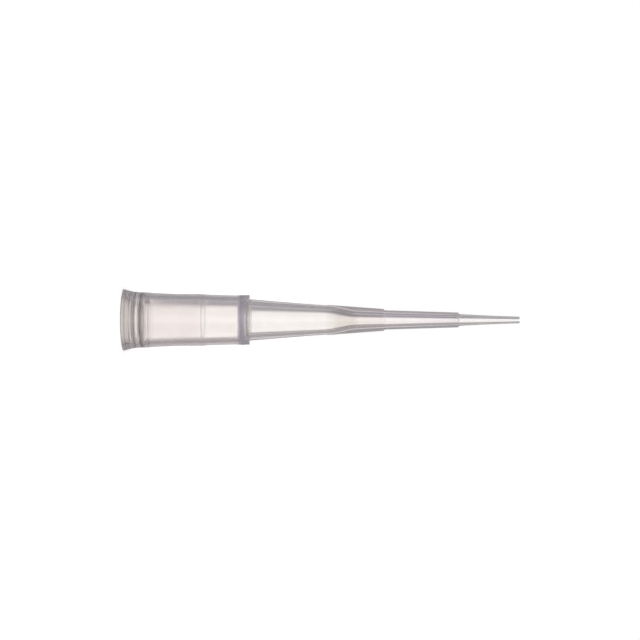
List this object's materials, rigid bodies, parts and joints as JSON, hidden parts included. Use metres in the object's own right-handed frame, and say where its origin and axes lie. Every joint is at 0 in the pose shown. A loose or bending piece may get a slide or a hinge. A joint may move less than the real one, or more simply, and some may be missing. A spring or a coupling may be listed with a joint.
{
  "type": "pipette tip",
  "caption": "Slender stepped conical tip of clear plastic with a flared mouth that pushes onto a pipette, a hub with a flat shoulder for the rack, and a fine open end.",
  "frame": {"origin": "middle of the mouth rim's plane, on which the tip stands", "axes": "+Z along the axis, from the wide mouth up to the fine end"},
  "size_m": [0.0072, 0.0072, 0.046],
  "materials": {
    "clear_polypropylene": "moulded clear polypropylene, glossy with a faint haze"
  },
  "bodies": {
    "root": {"pipette_tip": "clear_polypropylene"}
  },
  "joints": []
}
